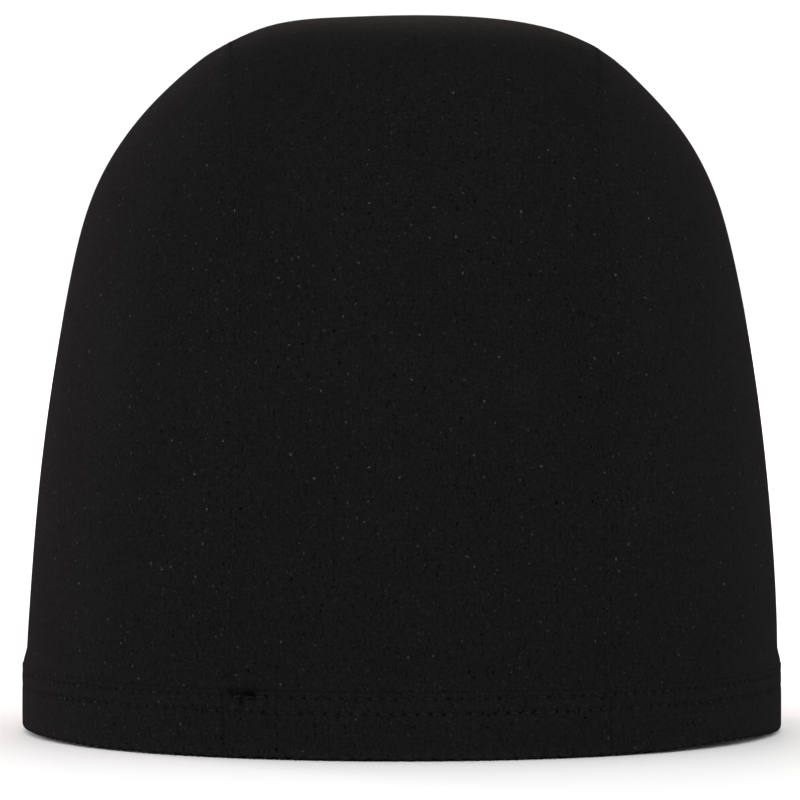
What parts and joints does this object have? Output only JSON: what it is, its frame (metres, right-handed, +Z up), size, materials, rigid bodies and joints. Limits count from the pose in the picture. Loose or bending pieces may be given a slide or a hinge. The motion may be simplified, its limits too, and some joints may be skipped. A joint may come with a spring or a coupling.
{
  "type": "helmet liner cap",
  "caption": "Close-fitting stretch-knit skull cap with a centre panel over the crown, side panels and a turned, stitched hem, worn under a helmet.",
  "frame": {"origin": "middle of the rim, on the surface that the cap stands on", "axes": "+Z up from the rim to the crown, the cap's front faces -Y, +X to the right in a view of the front"},
  "size_m": [0.164, 0.196, 0.155],
  "materials": {
    "centre_knit": "matte fine knit",
    "side_knit": "matte fine knit, slightly brushed",
    "hem_knit": "matte fine knit, pressed flat and stitched"
  },
  "bodies": {
    "root": {"centre_panel": "centre_knit", "side_panel_left": "side_knit", "side_panel_right": "side_knit", "hem_band": "hem_knit"}
  },
  "joints": []
}
